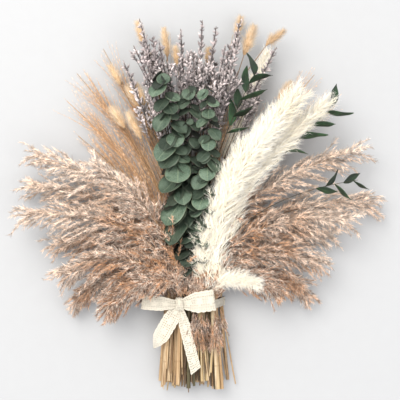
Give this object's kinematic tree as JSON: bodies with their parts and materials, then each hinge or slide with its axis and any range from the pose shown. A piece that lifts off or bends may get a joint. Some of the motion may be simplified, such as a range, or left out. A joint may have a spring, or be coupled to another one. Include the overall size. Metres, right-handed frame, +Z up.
{
  "type": "dried flower bunch",
  "caption": "Lying hand-tied bunch of dried pampas grass, reed plumes, straw grass, bunny tails, lavender, eucalyptus and ruscus with a lace ribbon.",
  "frame": {"origin": "on the table under the tie, on the flat underside of the ribbon's band", "axes": "+Y from the cut stems towards the heads, +Z up from the table, +X to the right when seen from above with the heads away from the viewer"},
  "size_m": [0.484, 0.5016, 0.1164],
  "materials": {
    "reed": "dry plume",
    "pampas": "dry plume",
    "straw_grass": "dry straw",
    "bunny_tail": "soft dry head",
    "lavender": "dry florets",
    "eucalyptus": "matt leaf",
    "ruscus": "satin leaf",
    "lace": "cotton lace"
  },
  "bodies": {
    "root": {"bunny_tail_1": "bunny_tail", "bunny_tail_10": "bunny_tail", "bunny_tail_11": "bunny_tail", "bunny_tail_12": "bunny_tail", "bunny_tail_13": "bunny_tail", "bunny_tail_2": "bunny_tail", "bunny_tail_3": "bunny_tail", "bunny_tail_4": "bunny_tail", "bunny_tail_5": "bunny_tail", "bunny_tail_6": "bunny_tail", "bunny_tail_7": "bunny_tail", "bunny_tail_8": "bunny_tail", "bunny_tail_9": "bunny_tail", "eucalyptus_1": "eucalyptus", "eucalyptus_2": "eucalyptus", "eucalyptus_3": "eucalyptus", "lace_ribbon": "lace", "lavender_1": "lavender", "lavender_10": "lavender", "lavender_2": "lavender", "lavender_3": "lavender", "lavender_4": "lavender", "lavender_5": "lavender", "lavender_6": "lavender", "lavender_7": "lavender", "lavender_8": "lavender", "lavender_9": "lavender", "pampas_plume_1": "pampas", "pampas_plume_2": "pampas", "pampas_plume_3": "pampas", "pampas_plume_4": "pampas", "pampas_plume_5": "pampas", "reed_plume_left_1": "reed", "reed_plume_left_2": "reed", "reed_plume_left_3": "reed", "reed_plume_left_4": "reed", "reed_plume_left_5": "reed", "reed_plume_left_6": "reed", "reed_plume_left_7": "reed", "reed_plume_left_8": "reed", "reed_plume_left_9": "reed", "reed_plume_right_1": "reed", "reed_plume_right_2": "reed", "reed_plume_right_3": "reed", "reed_plume_right_4": "reed", "reed_plume_right_5": "reed", "reed_plume_right_6": "reed", "reed_plume_right_7": "reed", "ruscus_1": "ruscus", "ruscus_2": "ruscus", "ruscus_3": "ruscus", "straw_spray_1": "straw_grass", "straw_spray_2": "straw_grass", "straw_spray_3": "straw_grass", "straw_spray_4": "straw_grass", "straw_spray_5": "straw_grass", "straw_spray_6": "straw_grass", "straw_spray_7": "straw_grass"}
  },
  "joints": []
}
